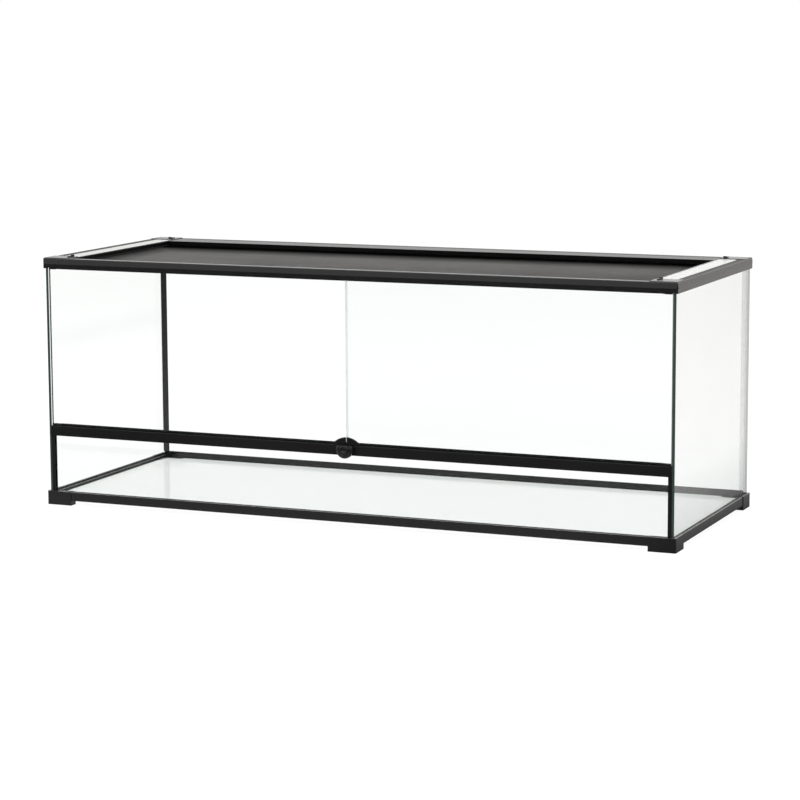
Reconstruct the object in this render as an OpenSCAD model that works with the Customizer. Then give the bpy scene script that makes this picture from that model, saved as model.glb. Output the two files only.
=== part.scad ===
/* [Overall] */
// Width over the feet
tank_w = 1220; // [700:10:1800]
// Depth over the feet
tank_d = 460; // [350:10:700]
// Height from the floor to the tops of the top rails
tank_h = 460; // [300:10:800]
// How far a foot stands out beyond the rails
foot_proud = 1; // [0.5:0.5:3]

/* [Glass and grooves] */
// Thickness of every pane
glass_t = 5; // [4:0.5:8]
// Play between a pane and its groove, each side
glass_play = 0.3; // [0.2:0.05:0.5]
// Rail wall outside a pane
outer_wall = 3.7; // [2.5:0.1:5]
// Rail wall inside a pane
inner_wall = 2.7; // [2:0.1:4]
// Width of the black seal in each back corner
seal_w = 8.5; // [4:0.5:10]

/* [Base frame] */
// Gap under the base rails
rail_lift = 9; // [6:1:30]
// Height of a base rail's outer wall
base_rail_h = 16; // [12:1:30]
// Height of the inner lip of the back base rail
base_lip_h = 21.5; // [17:0.5:40]
// Height of the inner lip of the side base rails
side_lip_h = 14; // [12:0.5:16]
// Height of the web that carries the floor glass, above the rail's underside
base_web_top = 6; // [5:0.5:10]
// Thickness of that web
base_web_t = 3; // [2:0.5:4]
// How far the web reaches in past the lip
floor_ledge = 4; // [3:0.5:25]
// Length of a foot along the front
foot_x = 50; // [40:1:80]
// Length of a foot along the side
foot_y = 45; // [40:1:80]
// Height of a foot
foot_h = 25.5; // [25:0.5:40]
// Depth of the hollows under a foot
foot_hollow = 10; // [3:1:11]
// Wall and rib thickness under a foot
foot_wall = 4; // [3:0.5:5]
// Reach of the gusset in a foot's inner corner
foot_gusset = 12; // [4:1:20]
// Corner radius of the feet and of the top corners
corner_r = 3; // [1:0.5:4]

/* [Front window] */
// Height of the crossbar's underside above the floor
bar_bottom = 130; // [80:1:180]
// Height of the crossbar
bar_h = 18.5; // [16:0.5:30]
// Depth of the crossbar from front to back
bar_d = 16; // [14:0.5:20]
// Depth of the groove that takes the top of the window pane
bar_groove = 7; // [4:0.5:8]
// Height of the lip that the doors close against
bar_lip_h = 3.5; // [2.5:0.5:5]
// Size of the chamfers along the crossbar
bar_chamfer = 1; // [0.5:0.25:2]
// Width of the black channel at each end of the window pane
channel_w = 6; // [5:0.5:12]
// Wall thickness of that channel
channel_t = 1.5; // [1:0.25:2.5]

/* [Top frame] */
// Height of the top rails
top_rail_h = 19; // [17:0.5:30]
// Depth of the groove that takes the tops of the panes
top_groove = 12; // [6:0.5:13]
// How much higher the front rail's underside is, above the doors
front_lift = 2; // [1:0.5:3]
// How far the front rail's stop lip reaches down behind the doors
stop_lip_h = 3.5; // [2.5:0.5:5]
// Chamfer along the top outer edges
top_chamfer = 0.8; // [0.4:0.1:1.2]
// Height of the band along the lower half of the frame's outer faces
band_h = 8.5; // [5:0.5:12]
// How far that band lies back
band_step = 0.6; // [0.3:0.1:1]
// How far the outer faces lean in above the band
face_lean = 0.9; // [0:0.1:1.5]
// Length of a top corner along the front, which is also the side rails' width
corner_x = 52; // [45:1:70]
// Length of a top corner along the side
corner_y = 42; // [38:1:70]
// How far the top corners stand above the rails
corner_raise = 1.2; // [0:0.1:2]
// Bevel along the inner edges of a top corner's raised top
corner_bevel = 1.2; // [0.5:0.1:2]
// Wall thickness of the hollow under a top corner
corner_wall = 3; // [2.5:0.5:4]
// Width of the solid part of a top corner that takes the latch's pin
corner_boss = 14; // [12:0.5:18]
// Depth of the ledge under the lid
lid_ledge = 11; // [8:1:16]
// Thickness of that ledge
lid_ledge_t = 3; // [2:0.5:4]
// Thickness of the plate that carries a pale side strip
strip_plate_t = 4; // [3:0.5:6]
// Thickness of a pale side strip
strip_t = 3.2; // [2:0.1:4]
// Width of the rim outside a side strip
strip_rim = 2.3; // [2.1:0.1:4]
// Width of the wall between a side strip and the lid's recess
strip_wall = 2; // [1.5:0.1:3]
// Width of the fine groove along a side strip
strip_groove_w = 1.6; // [1:0.1:3]
// Distance of that groove from the frame's outer face
strip_groove_in = 18; // [10:0.5:35]

/* [Lid] */
// Height of the lid's frame bars
lid_h = 10.3; // [8:0.1:10.8]
// Width of the foot of the lid's front and side bars
lid_bar_w = 7; // [5:0.5:12]
// Width of the lid's back bar
lid_back_w = 52; // [20:1:80]
// Wall thickness of the lid's frame bars
lid_wall = 2; // [1.2:0.1:2.5]
// Thickness of the two flanges that grip the mesh
lid_flange_t = 1.2; // [0.8:0.1:2]
// Play around the lid in its recess
lid_play = 0.5; // [0.3:0.1:1.5]
// Thickness of one wire of the mesh
wire_t = 0.45; // [0.4:0.05:0.8]
// Distance from wire to wire
wire_pitch = 5; // [4:0.5:20]
// Play around the wires in their slot
wire_play = 0.03; // [0.01:0.01:0.1]

/* [Lid latches] */
// Diameter of a latch's button
latch_d = 7; // [6:0.5:10]
// Height of a latch's button
latch_h = 3.4; // [3:0.1:6]
// Reach of a latch's tongue from its pin
latch_reach = 17; // [15:0.5:22]
// Width of a latch's tongue
latch_tongue_w = 5; // [4:0.5:6]
// Thickness of a latch's tongue
latch_tongue_t = 1.6; // [1.2:0.1:2]
// Distance from a latch's pin to the lid's recess
latch_in = 10; // [7:0.5:11]
// Distance from a latch's pin to the end of its top corner
latch_setback = 5; // [4:0.5:10]
// Length of a latch's pin in the top corner
latch_pin_l = 8; // [4:0.5:12]
// Width and depth of the slot across a latch's button
latch_slot = 1; // [0.6:0.1:1.4]
// Bevel around the latches' buttons and the screw's head
edge_bevel = 0.8; // [0.4:0.1:1.2]

/* [Doors] */
// Gap between the two doors
door_gap = 2.4; // [1.5:0.1:5]
// Gap above and below a door
door_clear = 1.8; // [1.7:0.1:3]
// Gap between a door and the side pane
door_side = 1.5; // [1:0.1:3]
// Distance from the side pane to a door's hinge axis
hinge_inset = 6; // [5.9:0.1:8]
// Length of a hinge shoe
shoe_l = 14; // [10:0.5:24]
// Wall thickness of a hinge shoe's cheeks
shoe_t = 1.2; // [0.8:0.1:1.5]
// Height of a hinge shoe's cheeks over the edge of the glass
shoe_grip = 1.7; // [1:0.1:12]
// How far a hinge shoe stays back from the glass's outer edge
shoe_inset = 0.5; // [0.2:0.1:1]
// Diameter of the pins of the hinges and latches
pin_d = 4; // [3:0.5:4.5]
// Length of a hinge pin in its bore
hinge_pin_l = 6; // [4:0.5:7]
// Room past the end of a hinge pin
pin_end = 0.5; // [0.2:0.1:1]
// Clearance around a turning pin, each side
pin_play = 0.05; // [0.02:0.01:0.1]
// Radius of the round edge of the two door catches
catch_r = 33; // [28:1:45]
// Height of the door catches
catch_h = 13; // [8:0.5:16]

/* [Lock] */
// Diameter of the lock knob
knob_d = 32; // [24:0.5:36]
// Thickness of the knob in the middle
knob_t = 12.5; // [9:0.5:16]
// Height of the knob's domed face
knob_dome_h = 5; // [3:0.5:7]
// Diameter of the dish in the middle of that face
knob_dish_d = 12; // [6:0.5:18]
// Depth of that dish
knob_dish_h = 1; // [0.5:0.1:2]
// Diameter of the ring groove around the dish
knob_ring_d = 20; // [14:0.5:22]
// Width and depth of the ring groove
knob_ring_w = 1; // [0.5:0.1:1.5]
// Height of the knob's axis above the crossbar's underside
knob_rise = 11.5; // [10.5:0.5:14]
// Diameter of the knob's shaft
shaft_d = 5; // [4:0.5:6]
// Gap between faces that slide past each other
face_gap = 0.3; // [0.2:0.05:0.5]
// Diameter of the washer behind the crossbar
washer_d = 18; // [12:1:22]
// Thickness of that washer
washer_t = 2; // [1:0.5:3]
// Diameter of the head of the screw that holds the washer
screw_d = 8; // [6:0.5:10]
// Height of that head
screw_h = 2.5; // [1.5:0.5:4]
// Diameter of the screw's shank
thread_d = 3; // [2:0.5:3.5]
// Length of that shank
screw_l = 8; // [5:0.5:14]
// Length of the cross recess in the screw's head
cross_l = 4.6; // [2:0.1:5]
// Width and depth of that recess
cross_w = 1; // [0.6:0.1:1.5]

/* [Hidden] */
$fn = 48;
eps = 0.01;

black = [0.09, 0.09, 0.1];
soft_black = [0.05, 0.05, 0.05];
pale = [0.93, 0.93, 0.91];
steel = [0.72, 0.73, 0.75];
clear_glass = [0.8, 0.92, 0.88, 0.3];

// The frame's outer faces lie at these distances from the middle
half_x = tank_w / 2 - foot_proud;
half_y = tank_d / 2 - foot_proud;

// Distances measured inwards from the frame's outer face
groove_w = glass_t + 2 * glass_play;
pane_out = outer_wall + glass_play;
pane_in = pane_out + glass_t;
lip_out = outer_wall + groove_w;
lip_in = lip_out + inner_wall;

// Levels
web_top = rail_lift + base_web_top;
lip_top = rail_lift + base_lip_h;
side_lip_top = rail_lift + side_lip_h;
top_bottom = tank_h - top_rail_h;
groove_top = top_bottom + top_groove;
pane_top = groove_top - glass_play;
front_bottom = top_bottom + front_lift;
stop_bottom = front_bottom - stop_lip_h;
bar_top = bar_bottom + bar_h;
band_top = top_bottom + band_h;
corner_top = tank_h + corner_raise;

// Inner faces of the side panes, and of the front and back panes
side_in = half_x - pane_in;
front_out = half_y - pane_out;
front_in = half_y - pane_in;
front_mid = (front_out + front_in) / 2;

// Lid and its recess
recess_x = half_x - corner_x;
recess_y = half_y - lip_in;
lid_x = recess_x - lid_play;
lid_y = recess_y - lid_play;
ledge_top = tank_h - lid_h - lid_play;
mesh_slot = 2 * wire_t + 3 * wire_play;
lid_top = ledge_top + lid_h;
mesh_bottom = ledge_top + lid_flange_t;
lid_foot_h = 2 * lid_flange_t + mesh_slot;
lid_back_y = lid_y - lid_back_w;

// Side strips
strip_bottom = tank_h - strip_t - glass_play;
strip_x_out = half_x - strip_rim;
strip_x_in = recess_x + strip_wall;
strip_len = 2 * (half_y - corner_y);
latch_x = recess_x + latch_in;
latch_y = strip_len / 2 + latch_setback;

// Doors
hinge_x = side_in - hinge_inset;
door_edge = side_in - door_side;
door_bottom = bar_top + door_clear;
door_top = front_bottom - door_clear;
shoe_edge = door_edge - shoe_inset;
catch_bottom = bar_top + 2 * face_gap;
catch_top = catch_bottom + catch_h;
catch_front_t = pane_out - face_gap;

// Lock
knob_z = bar_bottom + knob_rise;
flat_z = bar_top + face_gap;
shaft_l = bar_d + 2 * face_gap + washer_t;
bar_front = half_y;
bar_back = bar_front - bar_d;

// ---------------------------------------------------------------- helpers

// Runs a profile, drawn with x inwards from the front face and y upwards, along the front
module run_front(len) {
    translate([0, -half_y, 0]) rotate([90, 0, 90])
        translate([0, 0, -len / 2]) linear_extrude(len) children();
}

// The same along the right-hand side
module run_right(len) {
    rotate([0, 0, 90]) translate([0, -half_x, 0]) rotate([90, 0, 90])
        translate([0, 0, -len / 2]) linear_extrude(len) children();
}

module to_back() { mirror([0, 1, 0]) children(); }
module to_left() { mirror([1, 0, 0]) children(); }

// What is cut from a square corner at the origin to round it
module corner_cut(r, low, high) {
    difference() {
        translate([-1, -1, low - 1]) cube([r + 1, r + 1, high - low + 2]);
        translate([r, r, low - 2]) cylinder(r = r, h = high - low + 4);
    }
}

// A box from its low corner to its high corner
module box(low, high) { translate(low) cube(high - low); }

// A pane standing across the front, lying in the front plane
module front_pane(x0, x1, z0, z1) {
    box([x0, -front_out, z0], [x1, -front_in, z1]);
}

// ------------------------------------------------------------- base frame

// Section of a base rail: outer wall, web that carries the floor glass, groove and inner lip
module base_profile(lip) {
    translate([0, rail_lift]) {
        square([outer_wall, base_rail_h]);
        translate([0, base_web_top - base_web_t]) {
            square([lip_in + floor_ledge, base_web_t]);
            translate([lip_out, 0]) square([inner_wall, lip - base_web_top + base_web_t]);
        }
    }
}

module base_rail_front() {
    color(black) run_front(tank_w - 2 * foot_x) base_profile(base_rail_h);
}
module base_rail_back() {
    color(black) to_back() run_front(tank_w - 2 * foot_x) base_profile(base_lip_h);
}
module base_rail_right() {
    color(black) run_right(tank_d - 2 * foot_y) base_profile(side_lip_h);
}
module base_rail_left() { to_left() base_rail_right(); }

// A foot has two arms as wide as the rails and a gusset between them. It is drawn with its
// outer corner at the origin, reaching towards +x and +y. Its two lips carry on those of the
// rails, and lip_y is the height of the one along x.
module foot(lip_y) {
    out = foot_proud + outer_wall;
    lip0 = foot_proud + lip_out;
    lip1 = foot_proud + lip_in;
    arm = lip1 + floor_ledge;
    color(black) difference() {
        union() {
            cube([foot_x, arm, web_top]);
            cube([arm, foot_y, web_top]);
            translate([0, 0, web_top - base_web_t]) linear_extrude(base_web_t) polygon([
                [out, out], [arm + foot_gusset, out], [arm + foot_gusset, arm],
                [arm, arm + foot_gusset], [out, arm + foot_gusset]
            ]);
            cube([out, foot_y, foot_h]);
            cube([foot_x, out, foot_h]);
            box([lip0, lip0, 0], [foot_x, lip1, lip_y]);
            box([lip0, lip0, 0], [lip1, foot_y, side_lip_top]);
        }
        corner_cut(corner_r, 0, foot_h);
        // two pockets under each arm, with walls and a rib around them
        for (i = [0, 1]) {
            pocket_x = (foot_x - arm - 2 * foot_wall) / 2;
            pocket_y = (foot_y - arm - 2 * foot_wall) / 2;
            translate([arm + i * (pocket_x + foot_wall), foot_wall, -1])
                cube([pocket_x, arm - 2 * foot_wall, foot_hollow + 1]);
            translate([foot_wall, arm + i * (pocket_y + foot_wall), -1])
                cube([arm - 2 * foot_wall, pocket_y, foot_hollow + 1]);
        }
    }
}

module place_foot() { translate([-tank_w / 2, -tank_d / 2, 0]) children(); }
module foot_front_left() { place_foot() foot(foot_h); }
module foot_back_left() { to_back() place_foot() foot(lip_top); }
module foot_front_right() { to_left() foot_front_left(); }
module foot_back_right() { to_left() foot_back_left(); }

// ------------------------------------------------------------------ panes

module floor_glass() {
    x = half_x - lip_in - glass_play;
    y = half_y - lip_in - glass_play;
    color(clear_glass) box([-x, -y, web_top], [x, y, web_top + glass_t]);
}

module side_glass_right() {
    color(clear_glass)
        box([side_in, -front_out, web_top], [half_x - pane_out, front_out, pane_top]);
}
module side_glass_left() { to_left() side_glass_right(); }

module back_glass() {
    x = side_in - glass_play;
    color(clear_glass) to_back() front_pane(-x, x, web_top, pane_top);
}

module window_glass() {
    x = side_in - channel_t - glass_play;
    color(clear_glass) front_pane(-x, x, web_top, bar_bottom + bar_groove - glass_play);
}

// A three-cornered bead along the inner corner of the side pane and the back pane
module corner_seal_right() {
    color(soft_black) translate([side_in, front_in, lip_top]) rotate([0, 0, 180])
        linear_extrude(top_bottom - lip_top) polygon([[0, 0], [seal_w, 0], [0, seal_w]]);
}
module corner_seal_left() { to_left() corner_seal_right(); }

// ----------------------------------------------------------- front window

// A channel that stands on the foot and takes an end of the window pane
module window_channel_right() {
    color(black) translate([0, 0, foot_h]) linear_extrude(bar_bottom - foot_h) difference() {
        translate([side_in - channel_w, -half_y + outer_wall - channel_t])
            square([channel_w, groove_w + 2 * channel_t]);
        translate([side_in - channel_w - 1, -half_y + outer_wall])
            square([channel_w - channel_t + 1, groove_w]);
    }
}
module window_channel_left() { to_left() window_channel_right(); }

// Section of the crossbar, with the groove for the window pane underneath
module bar_profile() {
    c = bar_chamfer;
    difference() {
        polygon([
            [c, bar_bottom], [bar_d, bar_bottom], [bar_d, bar_top - c], [bar_d - c, bar_top],
            [c, bar_top], [0, bar_top - c], [0, bar_bottom + c]
        ]);
        translate([outer_wall, bar_bottom - 1]) square([groove_w, bar_groove + 1]);
    }
}

module crossbar() {
    color(black) difference() {
        union() {
            run_front(2 * (side_in - glass_play)) bar_profile();
            run_front(2 * (shoe_edge - shoe_l - 2 * face_gap)) translate([lip_out, bar_top - 1])
                square([inner_wall, bar_lip_h + 1]);
        }
        for (s = [-1, 1]) translate([s * hinge_x, -front_mid, bar_top - hinge_pin_l - pin_end])
            cylinder(d = pin_d + 2 * pin_play, h = hinge_pin_l + pin_end + 1);
        translate([0, -bar_front - 1, knob_z]) rotate([-90, 0, 0])
            cylinder(d = shaft_d + 2 * pin_play, h = bar_d + 2);
    }
}

// -------------------------------------------------------------- top frame

// Section of a top rail from its outer face, with its set-back band, to a given width
module top_profile(bottom, width) {
    c = top_chamfer;
    polygon([
        [band_step, bottom], [width, bottom], [width, tank_h], [face_lean + c, tank_h],
        [face_lean, tank_h - c], [0, band_top], [band_step, band_top - band_step]
    ]);
}

module pane_groove() {
    translate([outer_wall, top_bottom - 1]) square([groove_w, top_groove + 1]);
}

module ledge_profile(from) {
    translate([from - 1, ledge_top - lid_ledge_t]) square([lid_ledge + 1, lid_ledge_t]);
}

module top_rail_front() {
    color(black) run_front(2 * recess_x) {
        top_profile(front_bottom, lip_in);
        translate([lip_out, stop_bottom]) square([inner_wall, stop_lip_h + 1]);
        ledge_profile(lip_in);
    }
}

module top_rail_back() {
    color(black) to_back() run_front(2 * recess_x) {
        difference() {
            top_profile(top_bottom, lip_in);
            pane_groove();
        }
        ledge_profile(lip_in);
    }
}

// The side rails are wide: behind a low rim, a tray over the glass carries the pale strip
module top_rail_right() {
    color(black) run_right(strip_len) {
        difference() {
            top_profile(top_bottom, lip_in);
            pane_groove();
            translate([strip_rim, strip_bottom]) square([lip_in, tank_h]);
        }
        translate([lip_in - 1, strip_bottom - strip_plate_t])
            square([corner_x - lip_in + 1, strip_plate_t]);
        translate([corner_x - strip_wall, ledge_top - lid_ledge_t])
            square([strip_wall, tank_h - ledge_top + lid_ledge_t]);
        ledge_profile(corner_x);
    }
}
module top_rail_left() { to_left() top_rail_right(); }

// One side of a top corner's outer shape: the rails' outer face below a raised, bevelled top
module corner_profile(width) {
    c = top_chamfer + corner_raise;
    polygon([
        [band_step, top_bottom], [width, top_bottom], [width, corner_top - corner_bevel],
        [width - corner_bevel, corner_top], [face_lean + c, corner_top],
        [face_lean, corner_top - c], [0, band_top], [band_step, band_top - band_step]
    ]);
}

// A top corner, drawn like a foot, with its outer corner at the origin
module top_corner(at_front) {
    color(black) difference() {
        union() {
            difference() {
                intersection() {
                    rotate([90, 0, 90]) linear_extrude(corner_x) corner_profile(corner_y);
                    mirror([0, 1, 0]) rotate([90, 0, 0])
                        linear_extrude(corner_y) corner_profile(corner_x);
                }
                if (at_front) box([outer_wall, -1, top_bottom - 1], [corner_x + 1, lip_in, front_bottom]);
                else box([outer_wall, outer_wall, top_bottom - 1],
                         [corner_x + 1, lip_out, groove_top]);
                box([outer_wall, outer_wall, top_bottom - 1], [lip_out, corner_y + 1, groove_top]);
                box([lip_in + corner_wall, lip_in + corner_wall, top_bottom - 1],
                    [corner_x - corner_boss, corner_y - corner_boss, corner_top - corner_wall]);
            }
            if (at_front) box([half_x - shoe_edge + shoe_l + 2 * face_gap, lip_out, stop_bottom],
                              [corner_x, lip_in, front_bottom + 1]);
        }
        corner_cut(corner_r, top_bottom, corner_top);
        if (at_front) translate([half_x - hinge_x, half_y - front_mid, front_bottom - 1])
            cylinder(d = pin_d + 2 * pin_play, h = hinge_pin_l + pin_end + 1);
        translate([half_x - latch_x, half_y - latch_y, corner_top - latch_pin_l - pin_end])
            cylinder(d = pin_d + 2 * pin_play, h = latch_pin_l + pin_end + 1);
    }
}

module place_corner() { translate([-half_x, -half_y, 0]) children(); }
module top_corner_front_left() { place_corner() top_corner(true); }
module top_corner_back_left() { to_back() place_corner() top_corner(false); }
module top_corner_front_right() { to_left() top_corner_front_left(); }
module top_corner_back_right() { to_left() top_corner_back_left(); }

module side_strip_right() {
    y = strip_len / 2 - glass_play;
    color(pale) difference() {
        box([strip_x_in + glass_play, -y, strip_bottom],
            [strip_x_out - glass_play, y, strip_bottom + strip_t]);
        translate([half_x - strip_groove_in, 0, strip_bottom + strip_t])
            rotate([0, 45, 0]) cube([strip_groove_w, 2 * y + 2, strip_groove_w], center = true);
    }
}
module side_strip_left() { to_left() side_strip_right(); }

// -------------------------------------------------------------------- lid

// Section of a front or side lid bar: an upright wall with two flanges that grip the mesh
module lid_profile() {
    translate([0, ledge_top]) difference() {
        union() {
            square([lid_wall, lid_h]);
            square([lid_bar_w, lid_foot_h]);
        }
        translate([lid_wall, lid_flange_t]) square([lid_bar_w, mesh_slot]);
    }
}

// A bar from x0 to x1 along the front of a lid of the given half depth. Its low end is
// mitred, and so is its high end unless it butts against the back bar.
module lid_bar(half_depth, x0, x1, butt) {
    color(black) intersection() {
        translate([0, half_y - half_depth, 0]) run_front(-2 * x0) lid_profile();
        translate([0, 0, ledge_top - 1]) linear_extrude(lid_h + 2) polygon([
            [x0, -half_depth], [x1, -half_depth],
            [x1 - (butt ? 0 : lid_bar_w), -half_depth + lid_bar_w],
            [x0 + lid_bar_w, -half_depth + lid_bar_w]
        ]);
    }
}

module lid_bar_front() { lid_bar(lid_y, -lid_x, lid_x, false); }
module lid_bar_right() { rotate([0, 0, 90]) lid_bar(lid_x, -lid_y, lid_back_y, true); }
module lid_bar_left() { to_left() lid_bar_right(); }

// The wide back bar is a hollow box with a slot for the mesh along its front
module lid_bar_back() {
    x = lid_x - lid_wall;
    color(black) difference() {
        box([-lid_x, lid_back_y, ledge_top], [lid_x, lid_y, lid_top]);
        box([-x, lid_back_y + lid_wall, mesh_bottom], [x, lid_y - lid_wall, lid_top - lid_wall]);
        box([-x, lid_back_y - 1, mesh_bottom],
            [x, lid_back_y + lid_wall + 1, mesh_bottom + mesh_slot]);
    }
}

// Two layers of wires, one across the other, that reach to the bottoms of the slots
module lid_mesh() {
    x = lid_x - lid_wall - wire_play;
    y0 = -lid_y + lid_wall + wire_play;
    y1 = lid_back_y + lid_bar_w - wire_play;
    nx = floor((2 * x - wire_t) / wire_pitch);
    ny = floor((y1 - y0 - wire_t) / wire_pitch);
    color(black) {
        for (i = [0:ny])
            translate([-x, (y0 + y1) / 2 + (i - ny / 2) * wire_pitch - wire_t / 2,
                       mesh_bottom + wire_play])
                cube([2 * x, wire_t, wire_t]);
        for (i = [0:nx])
            translate([(i - nx / 2) * wire_pitch - wire_t / 2, y0,
                       mesh_bottom + wire_t + 2 * wire_play])
                cube([wire_t, y1 - y0, wire_t]);
    }
}

// ------------------------------------------------------------ lid latches

// A button on a pin with a tongue along +y, which turns in over the lid's bar
module latch() {
    base = corner_top + face_gap;
    tongue_y = latch_reach - latch_tongue_w / 2;
    color(black) difference() {
        union() {
            translate([0, 0, base]) cylinder(d = latch_d, h = latch_h - edge_bevel);
            translate([0, 0, base + latch_h - edge_bevel])
                cylinder(d1 = latch_d, d2 = latch_d - 2 * edge_bevel, h = edge_bevel);
            translate([0, tongue_y, base]) cylinder(d = latch_tongue_w, h = latch_tongue_t);
            translate([-latch_tongue_w / 2, 0, base])
                cube([latch_tongue_w, tongue_y, latch_tongue_t]);
            translate([0, 0, corner_top - latch_pin_l])
                cylinder(d = pin_d, h = latch_pin_l + face_gap + 1);
        }
        translate([-latch_d / 2 - 1, -latch_slot / 2, base + latch_h - latch_slot])
            cube([latch_d + 2, latch_slot, latch_slot + 1]);
    }
}

module lid_latch_back_right() { translate([latch_x, latch_y, 0]) latch(); }
module lid_latch_front_right() { to_back() lid_latch_back_right(); }
module lid_latch_back_left() { to_left() lid_latch_back_right(); }
module lid_latch_front_left() { to_left() lid_latch_front_right(); }

// ------------------------------------------------------------------ doors

module door_glass_right() {
    color(clear_glass) front_pane(door_gap / 2, door_edge, door_bottom, door_top);
}
module door_glass_left() { to_left() door_glass_right(); }

// A hinge shoe hugs the edge of the glass and carries the pin; edge is the edge's level,
// and up is 1 where the pin points up and -1 where it points down
module hinge_shoe(edge, up) {
    floor_t = door_clear - 2 * face_gap;
    color(black) translate([0, 0, edge]) mirror([0, 0, up > 0 ? 0 : 1]) {
        difference() {
            box([shoe_edge - shoe_l, -front_out - shoe_t, -shoe_grip],
                [shoe_edge, -front_in + shoe_t, floor_t]);
            box([shoe_edge - shoe_l - 1, -front_out, -shoe_grip - 1],
                [door_edge + 1, -front_in, 0]);
        }
        translate([hinge_x, -front_mid, floor_t - eps])
            cylinder(d = pin_d, h = hinge_pin_l);
    }
}

module hinge_top_right() { hinge_shoe(door_top, 1); }
module hinge_bottom_right() { hinge_shoe(door_bottom, -1); }
module hinge_top_left() { to_left() hinge_top_right(); }
module hinge_bottom_left() { to_left() hinge_bottom_right(); }

// Half of a low round plate, with its straight side at the gap between the doors
module catch_outline() {
    intersection() {
        translate([0, catch_top - catch_r]) circle(r = catch_r, $fn = 96);
        translate([door_gap / 2, catch_bottom]) square([catch_r, catch_h + 1]);
    }
}

module door_catch_right() {
    color(black) translate([0, -front_out - catch_front_t, 0]) mirror([0, 1, 0]) rotate([90, 0, 0])
        difference() {
            linear_extrude(catch_front_t + glass_t) catch_outline();
            translate([0, 0, catch_front_t])
                box([0, door_bottom, 0], [catch_r + 1, catch_top + 1, glass_t + 1]);
        }
}
module door_catch_left() { to_left() door_catch_right(); }

// ------------------------------------------------------------------- lock

// The knob's axis runs along y. It is a domed disc with a flat on one side, which is up
// while the doors are free, and a dish and a ring groove in its face. Its shaft runs
// through the crossbar and the washer and takes the screw in its end.
module lock_knob() {
    dome_r = (pow(knob_d / 2, 2) + pow(knob_dome_h, 2)) / (2 * knob_dome_h);
    dish_r = (pow(knob_dish_d / 2, 2) + pow(knob_dish_h, 2)) / (2 * knob_dish_h);
    dish_z = knob_t - dome_r + sqrt(pow(dome_r, 2) - pow(knob_dish_d / 2, 2));
    ring_z = knob_t - dome_r + sqrt(pow(dome_r, 2) - pow(knob_ring_d / 2, 2));
    color(black) translate([0, -bar_front - face_gap, knob_z]) rotate([90, 0, 0]) difference() {
        union() {
            intersection() {
                cylinder(d = knob_d, h = knob_t, $fn = 96);
                translate([0, 0, knob_t - dome_r]) sphere(r = dome_r, $fn = 96);
            }
            translate([0, 0, -shaft_l]) cylinder(d = shaft_d, h = shaft_l + 1);
        }
        translate([0, 0, dish_z + dish_r - knob_dish_h]) sphere(r = dish_r, $fn = 96);
        translate([0, 0, ring_z - knob_ring_w]) difference() {
            cylinder(d = knob_ring_d + knob_ring_w, h = knob_dome_h, $fn = 96);
            translate([0, 0, -1])
                cylinder(d = knob_ring_d - knob_ring_w, h = knob_dome_h + 2, $fn = 96);
        }
        translate([-knob_d, flat_z - knob_z - eps, -face_gap / 2])
            cube([2 * knob_d, knob_d, knob_t + 1]);
        translate([0, 0, -shaft_l - 1])
            cylinder(d = thread_d + 2 * pin_play, h = screw_l + pin_end + 1);
    }
}

module lock_washer() {
    color(steel) translate([0, -bar_back + face_gap, knob_z]) rotate([-90, 0, 0]) difference() {
        cylinder(d = washer_d, h = washer_t);
        translate([0, 0, -1]) cylinder(d = shaft_d + 2 * pin_play, h = washer_t + 2);
    }
}

module lock_screw() {
    color(steel) translate([0, -bar_back + face_gap + washer_t, knob_z]) rotate([-90, 0, 0])
        difference() {
            union() {
                cylinder(d1 = screw_d, d2 = screw_d - 2 * edge_bevel, h = screw_h);
                translate([0, 0, -screw_l]) cylinder(d = thread_d, h = screw_l + 1);
            }
            translate([0, 0, screw_h - cross_w]) for (a = [0, 90]) rotate([0, 0, a])
                translate([-cross_l / 2, -cross_w / 2, 0]) cube([cross_l, cross_w, cross_w + 1]);
        }
}

foot_front_left();
foot_front_right();
foot_back_left();
foot_back_right();
base_rail_front();
base_rail_back();
base_rail_left();
base_rail_right();
floor_glass();
back_glass();
side_glass_left();
side_glass_right();
corner_seal_left();
corner_seal_right();
window_glass();
window_channel_left();
window_channel_right();
crossbar();
top_corner_front_left();
top_corner_front_right();
top_corner_back_left();
top_corner_back_right();
top_rail_front();
top_rail_back();
top_rail_left();
top_rail_right();
side_strip_left();
side_strip_right();
lid_bar_front();
lid_bar_back();
lid_bar_left();
lid_bar_right();
lid_mesh();
lid_latch_front_left();
lid_latch_front_right();
lid_latch_back_left();
lid_latch_back_right();
door_glass_left();
door_glass_right();
hinge_top_left();
hinge_bottom_left();
hinge_top_right();
hinge_bottom_right();
door_catch_left();
door_catch_right();
lock_knob();
lock_washer();
lock_screw();
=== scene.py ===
import math

import bpy
import numpy as np
from mathutils import Matrix, Vector


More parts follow.
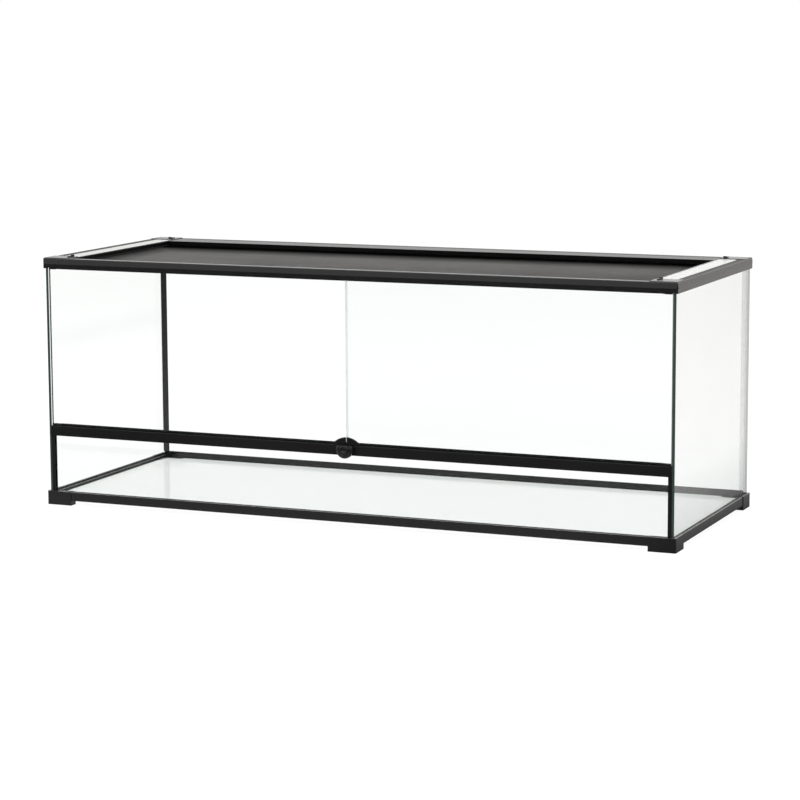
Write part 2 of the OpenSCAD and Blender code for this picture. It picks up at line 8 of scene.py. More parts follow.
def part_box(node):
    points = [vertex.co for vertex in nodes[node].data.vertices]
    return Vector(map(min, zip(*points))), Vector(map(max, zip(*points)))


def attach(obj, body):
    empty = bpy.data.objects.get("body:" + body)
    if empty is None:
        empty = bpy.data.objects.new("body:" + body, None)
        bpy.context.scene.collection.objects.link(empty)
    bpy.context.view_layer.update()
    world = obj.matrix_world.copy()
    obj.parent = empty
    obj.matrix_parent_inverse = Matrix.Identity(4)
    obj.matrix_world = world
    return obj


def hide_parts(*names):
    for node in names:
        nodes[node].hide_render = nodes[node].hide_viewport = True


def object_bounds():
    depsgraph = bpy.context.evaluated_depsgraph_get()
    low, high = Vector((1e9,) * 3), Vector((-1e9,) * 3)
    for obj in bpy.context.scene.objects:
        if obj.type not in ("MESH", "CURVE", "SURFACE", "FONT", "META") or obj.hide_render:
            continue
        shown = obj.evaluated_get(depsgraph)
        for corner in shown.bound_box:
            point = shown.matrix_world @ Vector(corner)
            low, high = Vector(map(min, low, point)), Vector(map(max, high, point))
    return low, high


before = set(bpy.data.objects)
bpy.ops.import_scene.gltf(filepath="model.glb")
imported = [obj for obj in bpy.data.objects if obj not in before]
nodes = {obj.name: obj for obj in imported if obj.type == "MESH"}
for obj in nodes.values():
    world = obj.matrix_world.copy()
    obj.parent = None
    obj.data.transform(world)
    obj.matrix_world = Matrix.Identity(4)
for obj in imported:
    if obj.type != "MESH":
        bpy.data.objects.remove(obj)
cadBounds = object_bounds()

millimetre = 0.001
white = (1.0, 1.0, 1.0, 1.0)
noiseLow = 0.3  # nearly all of a noise lies between these two
noiseHigh = 0.7
axisCosine = 0.5  # a face looks along an axis where its normal's share of it is larger
scene = bpy.context.scene
print("terrarium: frame loaded,", len(nodes), "CAD nodes")


def addNode(tree, kind, inputs=None, **properties):
    # One shader node; an input takes a plain value or the socket that feeds it
    node = tree.nodes.new(kind)
    for key, value in properties.items():
        setattr(node, key, value)
    for key, value in (inputs or {}).items():
        if isinstance(value, bpy.types.NodeSocket):
            tree.links.new(value, node.inputs[key])
        else:
            node.inputs[key].default_value = value
    return node


def mathNode(tree, operation, first, second=0.0, clamp=False):
    node = addNode(tree, "ShaderNodeMath", {0: first, 1: second}, operation=operation)
    node.use_clamp = clamp
    return node.outputs[0]


def mixColour(tree, factor, first, second):
    # first + factor * (second - first), channel by channel
    node = addNode(tree, "ShaderNodeMix", {0: factor, 6: first, 7: second}, data_type="RGBA")
    return node.outputs[2]


def mixNumber(tree, factor, first, second):
    # first + factor * (second - first)
    node = addNode(tree, "ShaderNodeMix", {0: factor, 2: first, 3: second}, data_type="FLOAT")
    return node.outputs[0]


def mixShader(tree, factor, first, second):
    return addNode(tree, "ShaderNodeMixShader", {0: factor, 1: first, 2: second}).outputs[0]


def rangeNode(tree, value, low, high, newLow, newHigh):
    # Straight line from low..high to newLow..newHigh, held at both ends
    return addNode(tree, "ShaderNodeMapRange", {
        "Value": value, "From Min": low, "From Max": high,
        "To Min": newLow, "To Max": newHigh,
    }).outputs[0]


def noiseNode(tree, place, scale, detail=2.0, roughness=0.5, distortion=0.0):
    return addNode(tree, "ShaderNodeTexNoise", {
        "Vector": place, "Scale": scale, "Detail": detail, "Roughness": roughness,
        "Distortion": distortion,
    }).outputs[0]


def spreadNoise(tree, noise, newLow, newHigh):
    # The stretch where nearly all of a noise lies, spread over newLow..newHigh
    return rangeNode(tree, noise, noiseLow, noiseHigh, newLow, newHigh)


def splitAxes(tree, vector):
    # The sockets of a vector's x, y and z
    return addNode(tree, "ShaderNodeSeparateXYZ", {0: vector}).outputs


def newMaterial(name):
    material = bpy.data.materials.new(name)
    material.use_nodes = True
    material.node_tree.nodes.clear()
    return material, material.node_tree


def finishMaterial(tree, shader):
    addNode(tree, "ShaderNodeOutputMaterial", {"Surface": shader})


def dress(material, *names):
    # Gives CAD nodes their finish through the material slots of their objects
    for name in names:
        piece = nodes[name]
        if not piece.material_slots:
            piece.data.materials.append(None)
        for slot in piece.material_slots:
            slot.link = "OBJECT"
            slot.material = material


def namesLike(*starts):
    return [name for name in sorted(nodes) if name.startswith(starts)]


def middleHeight(name):
    # Height of the middle of a CAD node's box
    low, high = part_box(name)
    return (low.z + high.z) / 2


blackFrame = {
    "dark": (0.0024, 0.0022, 0.0026, 1.0), "light": (0.0052, 0.0049, 0.0054, 1.0), "cloudScale": 7.0,
    "roughLow": 0.19, "roughHigh": 0.26, "specular": 0.48, "scuffScale": 90.0,
    "grainScale": 1500.0, "grainDepth": 0.03 * millimetre, "grainStrength": 0.6,
    # edges: wear and a painted edge highlight
    "wearAndHighlightTone": (0.026, 0.025, 0.025, 1.0), "wearAndHighlightLow": 0.15, "wearAndHighlightHigh": 0.9,
    "wearAndHighlightScuffLow": 0.35, "wearAndHighlightScuffHigh": 0.65,
    "edgeRadius": 0.7 * millimetre, "edgeStart": 0.995, "edgeFull": 0.80,  # cosines
    # upward faces: dust and painted sheen
    "dustAndSheen": (0.060, 0.058, 0.056, 1.0), "dustAndSheenThin": 0.6,
    "dustAndSheenFrom": 0.0,  # height of the lowest dust and painted sheen
    "dustAndSheenStart": 0.6, "dustAndSheenFull": 0.95,  # how far a face has to look up
}
blackBar = dict(
    blackFrame, dustAndSheen=(0.004, 0.004, 0.004, 1.0), roughLow=0.50, roughHigh=0.62, specular=0.18)
# the lid's plastic is darker than the frame's: painted shade on the lid's walls
shadedBlackLid = dict(
    blackFrame, dark=(0.0012, 0.0012, 0.0012, 1.0), light=(0.0028, 0.0028, 0.0028, 1.0),
    wearAndHighlightTone=(0.010, 0.010, 0.010, 1.0), dustAndSheenFrom=middleHeight("lid_bar_front"),
    roughLow=0.30, roughHigh=0.40, specular=0.10)
# the back lid bar's top takes a light grey: painted reflection at a grazing angle, with dust
shadedSheenLidBack = dict(shadedBlackLid, dustAndSheen=(0.150, 0.147, 0.143, 1.0))
blackFittings = dict(
    blackFrame, dark=(0.0030, 0.0030, 0.0032, 1.0), light=(0.0060, 0.0060, 0.0062, 1.0),
    wearAndHighlightTone=(0.022, 0.022, 0.022, 1.0), dustAndSheen=(0.012, 0.012, 0.012, 1.0),
    roughLow=0.22, roughHigh=0.30, specular=0.42,
    grainScale=2200.0, grainDepth=0.02 * millimetre, edgeRadius=0.6 * millimetre)
paleCover = dict(
    blackFrame, dark=(0.60, 0.60, 0.575, 1.0), light=(0.70, 0.70, 0.675, 1.0),
    wearAndHighlightTone=(0.76, 0.76, 0.74, 1.0), dustAndSheen=(0.68, 0.68, 0.655, 1.0),
    roughLow=0.22, roughHigh=0.32, specular=0.5,
    grainScale=900.0, grainDepth=0.02 * millimetre, edgeRadius=0.6 * millimetre,
    border=14.4 * millimetre, borderTone=(0.045, 0.044, 0.042, 1.0), borderRough=0.8)
# the same strip plastic as the right side, painted darker as painted shade on the left strip
shadedLeftCover = dict(
    paleCover, dark=(0.46, 0.46, 0.45, 1.0), light=(0.56, 0.56, 0.545, 1.0),
    dustAndSheen=(0.53, 0.53, 0.515, 1.0))


def plasticMaterial(name, look):
    # Moulded plastic with a fine grain. Slow clouds set its tone and scuffs its gloss. Faces
    # that look up take a lighter tone above the given height: dust, and painted sheen for the
    # grazing reflection of top faces, kept off the sheltered faces below it. Edges are lighter
    # where the rounded normal leaves the flat one: wear, and a painted edge highlight. A look
    # with a border takes a dark, dull tone within that distance of the cover strips' outer edge.
    material, tree = newMaterial(name)
    place = addNode(tree, "ShaderNodeTexCoord").outputs["Object"]
    axes = splitAxes(tree, place)
    grain = noiseNode(tree, place, look["grainScale"], detail=3.0, roughness=0.6)
    clouds = noiseNode(tree, place, look["cloudScale"], detail=5.0, roughness=0.55)
    scuffs = noiseNode(tree, place, look["scuffScale"], detail=4.0, roughness=0.7)
    rounded = addNode(tree, "ShaderNodeBevel", {"Radius": look["edgeRadius"]}, samples=4).outputs[0]
    flat = addNode(tree, "ShaderNodeNewGeometry").outputs["Normal"]
    along = addNode(tree, "ShaderNodeVectorMath", {0: rounded, 1: flat}, operation="DOT_PRODUCT")
    edge = rangeNode(tree, along.outputs["Value"], look["edgeStart"], look["edgeFull"], 0.0, 1.0)
    # lighter edges: wear and a painted edge highlight
    wearAndHighlight = mathNode(tree, "MULTIPLY", edge, rangeNode(
        tree, scuffs, look["wearAndHighlightScuffLow"], look["wearAndHighlightScuffHigh"], look["wearAndHighlightLow"], look["wearAndHighlightHigh"]))
    upward = rangeNode(tree, splitAxes(tree, flat)[2], look["dustAndSheenStart"], look["dustAndSheenFull"], 0.0, 1.0)
    # painted sheen and dust on faces that look up, only above the given height
    dustAndSheenShare = mathNode(tree, "MULTIPLY", upward, spreadNoise(tree, scuffs, look["dustAndSheenThin"], 1.0))
    high = mathNode(tree, "GREATER_THAN", axes[2], look["dustAndSheenFrom"])
    dustAndSheenShare = mathNode(tree, "MULTIPLY", dustAndSheenShare, high)
    colour = mixColour(tree, spreadNoise(tree, clouds, 0.0, 1.0), look["dark"], look["light"])
    colour = mixColour(tree, dustAndSheenShare, colour, look["dustAndSheen"])
    colour = mixColour(tree, wearAndHighlight, colour, look["wearAndHighlightTone"])
    rough = spreadNoise(tree, scuffs, look["roughLow"], look["roughHigh"])
    if "border" in look:
        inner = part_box("side_strip_right")[1].x - look["border"]
        beyond = mathNode(tree, "GREATER_THAN", mathNode(tree, "ABSOLUTE", axes[0]), inner)
        colour = mixColour(tree, beyond, colour, look["borderTone"])
        rough = mixNumber(tree, beyond, rough, look["borderRough"])
    bump = addNode(tree, "ShaderNodeBump", {
        "Height": grain, "Distance": look["grainDepth"], "Strength": look["grainStrength"],
        "Normal": rounded,
    }).outputs[0]
    finishMaterial(tree, addNode(tree, "ShaderNodeBsdfPrincipled", {
        "Base Color": colour, "Roughness": rough, "Normal": bump,
        "Specular IOR Level": look["specular"],
    }).outputs[0])
    return material


dress(plasticMaterial("framePlastic", blackFrame), *namesLike("foot", "base_rail", "top_"))
dress(plasticMaterial("shadedLidPlastic", shadedBlackLid), "lid_bar_front", "lid_bar_left", "lid_bar_right")
dress(plasticMaterial("shadedSheenLidBackPlastic", shadedSheenLidBack), "lid_bar_back")
dress(plasticMaterial("barPlastic", blackBar), "crossbar", *namesLike("door_catch", "window_channel"))
dress(plasticMaterial("fittingPlastic", blackFittings), *namesLike("hinge", "lid_latch", "lock_knob"))
dress(plasticMaterial("coverPlastic", paleCover), "side_strip_right")
dress(plasticMaterial("shadedLeftCoverPlastic", shadedLeftCover), "side_strip_left")
print("terrarium: plastics done")


paneLook = {
    "tint": (0.982, 0.988, 0.984, 1.0), "smearScale": 6.0,
    "straight": 0.014, "glancing": 0.80, "streak": 0.30, "mirrorRough": 0.02,  # mirror layer
    "edge": (0.028, 0.044, 0.040, 1.0), "edgeSpan": 1.5, "darkEdge": (0.012, 0.020, 0.018, 1.0),
    "edgeRough": 0.16, "edgeClear": 0.0, "backClear": 0.0, "paleWithin": 1.0,
    "frost": 0.0, "frostSpan": 0.04, "frostFrom": middleHeight("floor_glass"),
    "frostTone": (0.980, 1.000, 0.990, 1.0), "frostRough": 0.30, "bending": 1.45,
}
rightPaneLook = dict(paneLook, tint=(0.990, 0.994, 0.990, 1.0), backClear=0.42)
backPaneLook = dict(paneLook, tint=(0.993, 0.997, 0.995, 1.0), edgeClear=0.45)
windowPaneLook = dict(paneLook, tint=(0.993, 0.997, 0.995, 1.0))
floorPaneLook = dict(paneLook, straight=0.02, glancing=0.40, frost=0.88)
leftDoorLook = dict(
    paneLook, tint=(0.994, 0.996, 0.995, 1.0), edge=(0.50, 0.58, 0.55, 1.0),
    edgeClear=0.5, paleWithin=0.3)
rightDoorLook = dict(leftDoorLook, tint=(0.974, 0.980, 0.976, 1.0))


def sheetShader(tree, look, smear, height):
    # What is behind the sheet shows through it, bent and blurred where its top is frosted.
    # A mirror layer grows towards glancing angles as straight + glancing * (1 - cosine)^5.
    facing = addNode(tree, "ShaderNodeLayerWeight", {"Blend": 0.5}).outputs["Facing"]
    steep = mathNode(tree, "POWER", facing, 5.0)
    mirror = rangeNode(tree, steep, 0.0, 1.0, look["straight"], look["straight"] + look["glancing"])
    cloudy = spreadNoise(tree, smear, 1.0 - look["streak"] / 2, 1.0 + look["streak"] / 2)
    share = mathNode(tree, "MULTIPLY", mirror, cloudy, clamp=True)
    through = addNode(tree, "ShaderNodeBsdfTransparent", {"Color": look["tint"]}).outputs[0]
    if look["frost"]:
        frosted = addNode(tree, "ShaderNodeBsdfRefraction", {
            "Color": look["frostTone"], "Roughness": look["frostRough"], "IOR": look["bending"],
        }).outputs[0]
        onTop = mathNode(tree, "GREATER_THAN", height, look["frostFrom"])
        patches = spreadNoise(
            tree, smear, look["frost"] - look["frostSpan"], look["frost"] + look["frostSpan"])
        through = mixShader(tree, mathNode(tree, "MULTIPLY", onTop, patches), through, frosted)
    mirrorRough = spreadNoise(tree, smear, 0.0, look["mirrorRough"])
    shine = addNode(tree, "ShaderNodeBsdfGlossy", {"Roughness": mirrorRough}).outputs[0]
    return mixShader(tree, share, through, shine)


def groundShader(tree, look, smear, axes, upright):
    # Ground edges of a pane. Level ones are the darkest, and so are those farther from the
    # middle than paleWithin. Of the others a share edgeClear is clear, and in the tank's
    # back half at least the share backClear is clear on every edge.
    level = mathNode(tree, "GREATER_THAN", mathNode(tree, "ABSOLUTE", upright), axisCosine)
    outer = mathNode(tree, "GREATER_THAN", mathNode(tree, "ABSOLUTE", axes[0]), look["paleWithin"])
    darkest = mathNode(tree, "MAXIMUM", level, outer)
    brighter = tuple(look["edgeSpan"] * channel for channel in look["edge"][:3]) + (1.0,)
    tone = mixColour(tree, spreadNoise(tree, smear, 0.0, 1.0), look["edge"], brighter)
    ground = addNode(tree, "ShaderNodeBsdfPrincipled", {
        "Base Color": mixColour(tree, darkest, tone, look["darkEdge"]),
        "Roughness": look["edgeRough"],
    }).outputs[0]
    through = addNode(tree, "ShaderNodeBsdfTransparent", {"Color": look["tint"]}).outputs[0]
    inBackHalf = mathNode(tree, "GREATER_THAN", axes[1], 0.0)
    share = mathNode(tree, "MAXIMUM", mathNode(tree, "MULTIPLY", inBackHalf, look["backClear"]),
                     mixNumber(tree, darkest, look["edgeClear"], 0.0))
    return mixShader(tree, share, ground, through)


def glassMaterial(name, thinAxis, look):
    # A pane is thin along one axis: faces that look along it are the sheet, the others edges
    material, tree = newMaterial(name)
    coords = addNode(tree, "ShaderNodeTexCoord")
    place = coords.outputs["Object"]
    axes = splitAxes(tree, place)
    normal = splitAxes(tree, coords.outputs["Normal"])
    smear = noiseNode(tree, place, look["smearScale"], detail=6.0, roughness=0.6, distortion=0.6)
    sheet = sheetShader(tree, look, smear, axes[2])
    ground = groundShader(tree, look, smear, axes, normal[2])
    flatness = mathNode(tree, "ABSOLUTE", normal[thinAxis])
    isSheet = mathNode(tree, "GREATER_THAN", flatness, axisCosine)
    finishMaterial(tree, mixShader(tree, isSheet, ground, sheet))
    return material


dress(glassMaterial("leftGlass", 0, paneLook), "side_glass_left")
dress(glassMaterial("rightGlass", 0, rightPaneLook), "side_glass_right")
dress(glassMaterial("backGlass", 1, backPaneLook), "back_glass")
dress(glassMaterial("windowGlass", 1, windowPaneLook), "window_glass")
dress(glassMaterial("leftDoorGlass", 1, leftDoorLook), "door_glass_left")
dress(glassMaterial("rightDoorGlass", 1, rightDoorLook), "door_glass_right")
dress(glassMaterial("floorGlass", 2, floorPaneLook), "floor_glass")
print("terrarium: glass done")


blackSealLook = {
    "dark": (0.006, 0.006, 0.006, 1.0), "light": (0.014, 0.014, 0.014, 1.0), "clear": 0.0,
    "pullScale": (400.0, 400.0, 30.0), "pullDepth": 0.2 * millimetre, "pullStrength": 0.5,
    "roughLow": 0.35, "roughHigh": 0.55,
}
# the same silicone as the black seal; its pale grey is painted reflection, seen through the side
# glass
clearLitSealLook = dict(
    blackSealLook, dark=(0.50, 0.51, 0.50, 1.0), light=(0.60, 0.61, 0.60, 1.0), clear=0.72)


def sealMaterial(name, look):
    # Soft silicone with long pull marks up the bead; the share clear of it lets light through
    material, tree = newMaterial(name)
    place = addNode(tree, "ShaderNodeTexCoord").outputs["Object"]
    stretched = addNode(tree, "ShaderNodeMapping", {"Vector": place, "Scale": look["pullScale"]})
    pull = noiseNode(tree, stretched.outputs[0], 1.0, detail=3.0)
    bump = addNode(tree, "ShaderNodeBump", {
        "Height": pull, "Distance": look["pullDepth"], "Strength": look["pullStrength"],
    }).outputs[0]
    shader = addNode(tree, "ShaderNodeBsdfPrincipled", {
        "Base Color": mixColour(tree, pull, look["dark"], look["light"]),
        "Roughness": spreadNoise(tree, pull, look["roughLow"], look["roughHigh"]), "Normal": bump,
    }).outputs[0]
    if look["clear"]:
        through = addNode(tree, "ShaderNodeBsdfTransparent").outputs[0]
        shader = mixShader(tree, look["clear"], shader, through)
    finishMaterial(tree, shader)
    return material


dress(sealMaterial("blackSeal", blackSealLook), "corner_seal_left")
dress(sealMaterial("clearLitSeal", clearLitSealLook), "corner_seal_right")


steelLook = {
    "dark": (0.50, 0.50, 0.51, 1.0), "light": (0.66, 0.66, 0.67, 1.0),
    "roughLow": 0.25, "roughHigh": 0.38,
    "ringScale": 600.0, "ringBend": 1.5, "ringDepth": 0.02 * millimetre, "ringStrength": 0.5,
}


def steelMaterial(look):
    # Turned steel: rings round the screw's axis, which runs along y
    material, tree = newMaterial("steel")
    place = addNode(tree, "ShaderNodeTexCoord").outputs["Object"]
    centred = addNode(tree, "ShaderNodeMapping", {
        "Vector": place, "Location": (0.0, 0.0, -middleHeight("lock_screw")),
    }).outputs[0]
    rings = addNode(tree, "ShaderNodeTexWave", {
        "Vector": centred, "Scale": look["ringScale"], "Distortion": look["ringBend"], "Detail": 2.0,
    }, wave_type="RINGS", rings_direction="Y").outputs["Fac"]
    bump = addNode(tree, "ShaderNodeBump", {
        "Height": rings, "Distance": look["ringDepth"], "Strength": look["ringStrength"],
    }).outputs[0]
    finishMaterial(tree, addNode(tree, "ShaderNodeBsdfPrincipled", {
        "Base Color": mixColour(tree, rings, look["dark"], look["light"]), "Metallic": 1.0,
        "Roughness": rangeNode(tree, rings, 0.0, 1.0, look["roughLow"], look["roughHigh"]),
        "Normal": bump,
    }).outputs[0])
    return material


dress(steelMaterial(steelLook), "lock_washer", "lock_screw")
print("terrarium: seals and steel done")


wireLook = {
    "pitch": 2.2 * millimetre, "radius": 0.28 * millimetre, "sides": 6,
    "nest": 0.8,  # each layer's distance from the panel's middle, in radii
    "dark": (0.062, 0.060, 0.058, 1.0), "light": (0.130, 0.127, 0.123, 1.0),
    "grainScale": 700.0, "cloudScale": 5.0, "toneLow": 0.1, "toneHigh": 0.4,
    "roughLow": 0.3, "roughHigh": 0.45,
    "sheenSpan": 6.6 * millimetre, "slant": 60.0 * millimetre, "sheen": 0.35,  # slanting stripes of painted sheen
    # painted shade of the lid's back and left walls on the wire
    "shade": (0.003, 0.003, 0.003, 1.0),
    "backFrom": 40.0 * millimetre, "backTo": 130.0 * millimetre,
    "leftReach": 70.0 * millimetre, "leftShade": 0.9,
}


def wireRow(low, high, along, level, look):
    # Straight wires side by side, each a prism from the low to the high end. A point lies
    # radius * cos(angle) across from its wire's centre and radius * sin(angle) above it,
    # and the centres step across the panel by one pitch.
    across = 1 - along
    count = int((high[across] - low[across]) / look["pitch"])
    steps = (np.arange(count) - (count - 1) / 2) * look["pitch"]
    centre = (high[across] + low[across]) / 2
    angle = np.arange(look["sides"]) * 2 * math.pi / look["sides"]
    points = np.zeros((count, 2, look["sides"], 3))
    points[..., along] = np.array([low[along], high[along]])[None, :, None]
    points[..., across] = (centre + steps)[:, None, None] + look["radius"] * np.cos(angle)
    points[..., 2] = level + look["radius"] * np.sin(angle)
    ring = np.arange(look["sides"])
    after = (ring + 1) % look["sides"]
    quads = np.stack([ring, after, after + look["sides"], ring + look["sides"]], axis=-1)
    starts = np.arange(count) * 2 * look["sides"]
    walls = quads[None] + starts[:, None, None]
    ends = np.stack([ring[::-1], ring + look["sides"]])[None] + starts[:, None, None]
    if along == 1:
        walls = walls[..., ::-1]
        ends = ends[..., ::-1]
    return points.reshape(-1, 3), walls.reshape(-1, 4), ends.reshape(-1, look["sides"])


def wireMaterial(low, look):
    # Powder-coated wire: bright grains in slow clouds on a dark coat, slanting stripes of
    # painted sheen as sin(2 pi (x / span + y / slant)), with span the stripes' span along x, and
    # painted shade: a straight run into a dark diffuse towards the lid's back and left walls
    material, tree = newMaterial("wire")
    place = addNode(tree, "ShaderNodeTexCoord").outputs["Object"]
    axes = splitAxes(tree, place)
    grain = noiseNode(tree, place, look["grainScale"])
    clouds = noiseNode(tree, place, look["cloudScale"])
    grainy = mathNode(tree, "MULTIPLY", grain, clouds)
    tone = rangeNode(tree, grainy, look["toneLow"], look["toneHigh"], 0.0, 1.0)
    # painted sheen: slanting stripes added to the wire's tone
    turns = mathNode(tree, "ADD", mathNode(tree, "DIVIDE", axes[0], look["sheenSpan"]),
                     mathNode(tree, "DIVIDE", axes[1], look["slant"]))
    sheenStripes = mathNode(tree, "SINE", mathNode(tree, "MULTIPLY", turns, 2 * math.pi))
    tone = mathNode(tree, "ADD", tone, mathNode(tree, "MULTIPLY", sheenStripes, look["sheen"]), clamp=True)
    coat = addNode(tree, "ShaderNodeBsdfPrincipled", {
        "Base Color": mixColour(tree, tone, look["dark"], look["light"]),
        "Roughness": spreadNoise(tree, grain, look["roughLow"], look["roughHigh"]),
    }).outputs[0]
    # painted shade: the wire fades to a dark diffuse towards the lid's back and left walls
    shadeTowardsBack = rangeNode(tree, axes[1], look["backFrom"], look["backTo"], 0.0, 1.0)
    shadeTowardsLeft = rangeNode(tree, axes[0], low.x, low.x + look["leftReach"], look["leftShade"], 0.0)
    paintedWallShade = addNode(tree, "ShaderNodeBsdfDiffuse", {"Color": look["shade"]}).outputs[0]
    finishMaterial(tree, mixShader(tree, mathNode(tree, "MAXIMUM", shadeTowardsBack, shadeTowardsLeft), coat, paintedWallShade))
    return material


def buildWireMesh(look):
    # Two layers of wires, one across the other, that fill the box of the CAD mesh
    low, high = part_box("lid_mesh")
    level = (low.z + high.z) / 2
    apart = look["nest"] * look["radius"]
    lower = wireRow(low, high, 0, level - apart, look)
    upper = wireRow(low, high, 1, level + apart, look)
    offset = len(lower[0])
    faces = lower[1].tolist() + lower[2].tolist()
    faces += (upper[1] + offset).tolist() + (upper[2] + offset).tolist()
    mesh = bpy.data.meshes.new("wirePanel")
    mesh.from_pydata(np.concatenate([lower[0], upper[0]]).tolist(), [], faces)
    mesh.polygons.foreach_set("use_smooth", [len(face) == 4 for face in faces])
    mesh.materials.append(wireMaterial(low, look))
    panel = bpy.data.objects.new("wirePanel", mesh)
    scene.collection.objects.link(panel)
    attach(panel, "lid")
    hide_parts("lid_mesh")
    return panel


wirePanel = buildWireMesh(wireLook)
print("terrarium: wire panel done,", len(wirePanel.data.polygons), "faces")


def rayKinds(tree):
    # 1 for rays straight from the camera or through glass, and 1 for rays off a gloss,
    # where a ray blurred by frosted glass counts as through it and not as off it
    path = addNode(tree, "ShaderNodeLightPath")
    straight = mathNode(tree, "MAXIMUM", path.outputs["Is Camera Ray"],
                        path.outputs["Is Transmission Ray"])
    gloss = mathNode(tree, "SUBTRACT", path.outputs["Is Glossy Ray"], straight, clamp=True)
    return straight, gloss


rightTint = (0.87, 0.84, 0.81, 1.0)  # what a gloss sees on the right is a little warm
floorLook = {
    "size": 16.0,
    "seen": 0.16, "glossSeen": 0.01, "bounce": 0.78,  # matte tone for each kind of ray
    "own": 0.925, "farOwn": 0.97, "nearRadius": 0.9, "farRadius": 1.8,  # light of its own
    "frontGloss": 0.08, "frontEnd": -0.75, "backGloss": 1.0, "backStart": 0.15,
    "footGloss": 0.56, "footReach": 0.30, "footFull": 0.1, "footEnd": 0.55,
    "sideGloss": 0.22, "sideReach": 0.20,
}


def floorCards(tree, axes, look):
    # How bright a gloss sees the floor: dark in front of the tank and white behind it, with
    # a brighter stretch along the tank's front that fades to the right, and a dull one along
    # its right side
    halfWidth = cadBounds[1][0]
    halfDepth = cadBounds[1][1]
    card = rangeNode(tree, axes[1], look["frontEnd"], look["backStart"],
                     look["frontGloss"], look["backGloss"])
    fromFront = mathNode(tree, "ABSOLUTE", mathNode(tree, "SUBTRACT", -halfDepth, axes[1]))
    nearFront = rangeNode(tree, fromFront, 0.0, look["footReach"], 1.0, 0.0)
    notRight = rangeNode(tree, axes[0], look["footFull"], look["footEnd"], 1.0, 0.0)
    card = mixNumber(tree, mathNode(tree, "MULTIPLY", nearFront, notRight), card, look["footGloss"])
    fromSide = mathNode(tree, "ABSOLUTE", mathNode(tree, "SUBTRACT", axes[0], halfWidth))
    nearSide = rangeNode(tree, fromSide, 0.0, look["sideReach"], 1.0, 0.0)
    card = mixNumber(tree, nearSide, card, look["sideGloss"])
    rightward = rangeNode(tree, axes[0], halfWidth, 2.0 * halfWidth, 0.0, 1.0)
    return card, rightward


def buildFloor(look):
    # A pale floor that looks white and keeps a soft shadow. A gloss sees it as studio cards,
    # and the light that bounces off it comes from plain matte paper.
    material, tree = newMaterial("floorPaper")
    straight, gloss = rayKinds(tree)
    place = addNode(tree, "ShaderNodeTexCoord").outputs["Object"]
    away = addNode(tree, "ShaderNodeVectorMath", {0: place}, operation="LENGTH").outputs["Value"]
    own = rangeNode(tree, away, look["nearRadius"], look["farRadius"], look["own"], look["farOwn"])
    card, rightward = floorCards(tree, splitAxes(tree, place), look)
    seen, glossSeen, bounce = ((look[key],) * 3 + (1.0,) for key in ("seen", "glossSeen", "bounce"))
    colour = mixColour(tree, straight, bounce, seen)
    colour = mixColour(tree, gloss, colour, glossSeen)
    matte = addNode(tree, "ShaderNodeBsdfDiffuse", {"Color": colour}).outputs[0]
    strength = mathNode(tree, "ADD", mathNode(tree, "MULTIPLY", straight, own),
                        mathNode(tree, "MULTIPLY", gloss, card))
    tone = mixColour(tree, mathNode(tree, "MULTIPLY", gloss, rightward), white, rightTint)
    glow = addNode(tree, "ShaderNodeEmission", {"Color": tone, "Strength": strength}).outputs[0]
    finishMaterial(tree, addNode(tree, "ShaderNodeAddShader", {0: matte, 1: glow}).outputs[0])
    half = look["size"] / 2
    corners = [(-half, -half, 0.0), (half, -half, 0.0), (half, half, 0.0), (-half, half, 0.0)]
    mesh = bpy.data.meshes.new("floorPaper")
    mesh.from_pydata(corners, [], [(0, 1, 2, 3)])
    mesh.materials.append(material)
    paper = bpy.data.objects.new("floorPaper", mesh)
    scene.collection.objects.link(paper)


worldLook = {
    "plain": 0.42, "lowFront": 0.08, "highFront": 1.0,
    "riseFrom": -0.06, "riseTo": 0.0,  # z of the direction
    "frontFull": -0.7, "frontEnd": -0.2,  # y of the direction
    "rightFrom": 0.05, "rightFull": 0.25,  # x of the direction
}


def buildWorld(look):
    # White to look at. A gloss sees a dark card low in front, where the direction's y and z
    # are negative, and white everywhere else, a little warm on the right.
    world = bpy.data.worlds.new("studio")
    world.use_nodes = True
    tree = world.node_tree
    tree.nodes.clear()
    straight, gloss = rayKinds(tree)
    axes = splitAxes(tree, addNode(tree, "ShaderNodeTexCoord").outputs["Generated"])
    rising = rangeNode(tree, axes[2], look["riseFrom"], look["riseTo"],
                       look["lowFront"], look["highFront"])
    forward = rangeNode(tree, axes[1], look["frontFull"], look["frontEnd"], 1.0, 0.0)
    card = mixNumber(tree, forward, 1.0, rising)
    plain = rangeNode(tree, straight, 0.0, 1.0, look["plain"], 1.0)
    rightward = rangeNode(tree, axes[0], look["rightFrom"], look["rightFull"], 0.0, 1.0)
    back = addNode(tree, "ShaderNodeBackground", {
        "Color": mixColour(tree, mathNode(tree, "MULTIPLY", gloss, rightward), white, rightTint),
        "Strength": mixNumber(tree, gloss, plain, card),
    }).outputs[0]
    addNode(tree, "ShaderNodeOutputWorld", {"Surface": back})
    scene.world = world


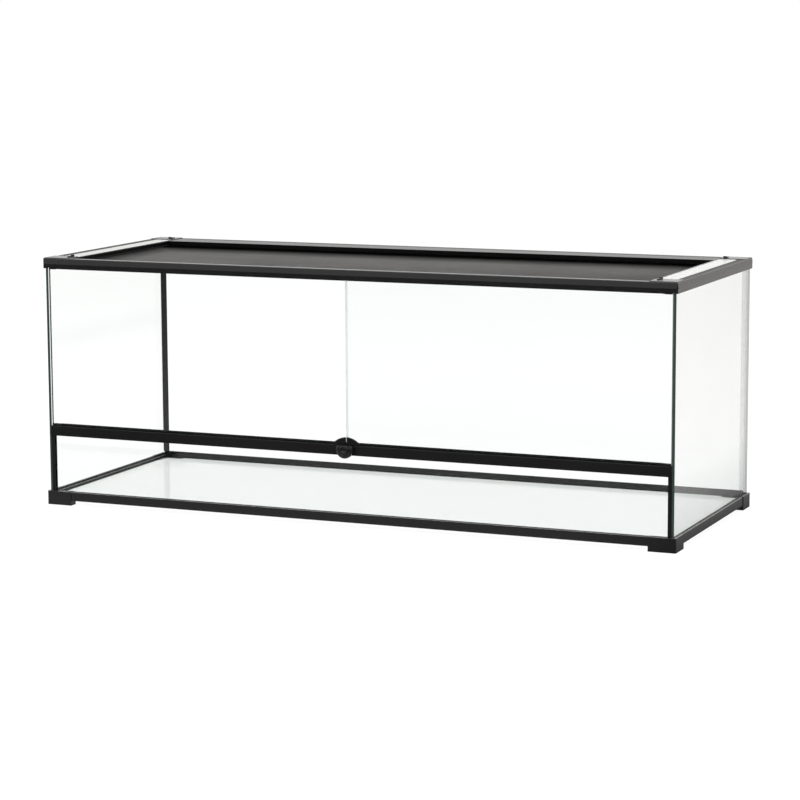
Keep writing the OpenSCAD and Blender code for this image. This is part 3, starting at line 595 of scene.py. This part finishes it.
lampLooks = {
    "keyLamp": {"place": (-1.6, -3.2, 3.4), "width": 2.4, "power": 105.0},
    "fillLamp": {"place": (3.2, -2.0, 1.8), "width": 2.0, "power": 40.0},
    "topLamp": {"place": (0.0, 1.2, 3.4), "width": 2.6, "power": 60.0},
}
lampTarget = Vector((0.0, 0.0, 0.2))


def addLamp(name, look):
    # A round soft lamp that looks at the middle of the tank
    lamp = bpy.data.lights.new(name, "AREA")
    lamp.shape = "DISK"
    lamp.size = look["width"]
    lamp.energy = look["power"]
    holder = bpy.data.objects.new(name, lamp)
    holder.location = look["place"]
    aim = lampTarget - Vector(look["place"])
    holder.rotation_euler = aim.to_track_quat("-Z", "Y").to_euler()
    scene.collection.objects.link(holder)


cameraLook = {
    "place": (1.9242, -4.5052, 0.9367), "turn": 23.0518, "dip": 8.5865, "lean": -0.2645,
    "focal": 2686.28, "picture": 800.0,  # both in pixels
    "sensor": 36.0, "farthest": 50.0,
}


def buildCamera(look):
    # Level turn, then dip, then lean, each in degrees
    turn, dip, lean = (math.radians(look[key]) for key in ("turn", "dip", "lean"))
    right = Vector((math.cos(turn), math.sin(turn), 0.0))
    ahead = Vector((-math.sin(turn), math.cos(turn), 0.0))
    upward = Vector((0.0, 0.0, 1.0))
    view = ahead * math.cos(dip) - upward * math.sin(dip)
    over = upward * math.cos(dip) + ahead * math.sin(dip)
    sideways = right * math.cos(lean) + over * math.sin(lean)
    topward = over * math.cos(lean) - right * math.sin(lean)
    facing = Matrix((sideways, topward, -view)).transposed().to_4x4()
    camera = bpy.data.objects.new("camera", bpy.data.cameras.new("camera"))
    camera.matrix_world = Matrix.Translation(look["place"]) @ facing
    camera.data.sensor_width = look["sensor"]
    camera.data.lens = look["focal"] / look["picture"] * look["sensor"]
    camera.data.clip_end = look["farthest"]
    scene.collection.objects.link(camera)
    scene.camera = camera


buildFloor(floorLook)
buildWorld(worldLook)
for lampName, lampLook in lampLooks.items():
    addLamp(lampName, lampLook)
buildCamera(cameraLook)
scene.view_settings.view_transform = "Standard"
print("terrarium: stage done")
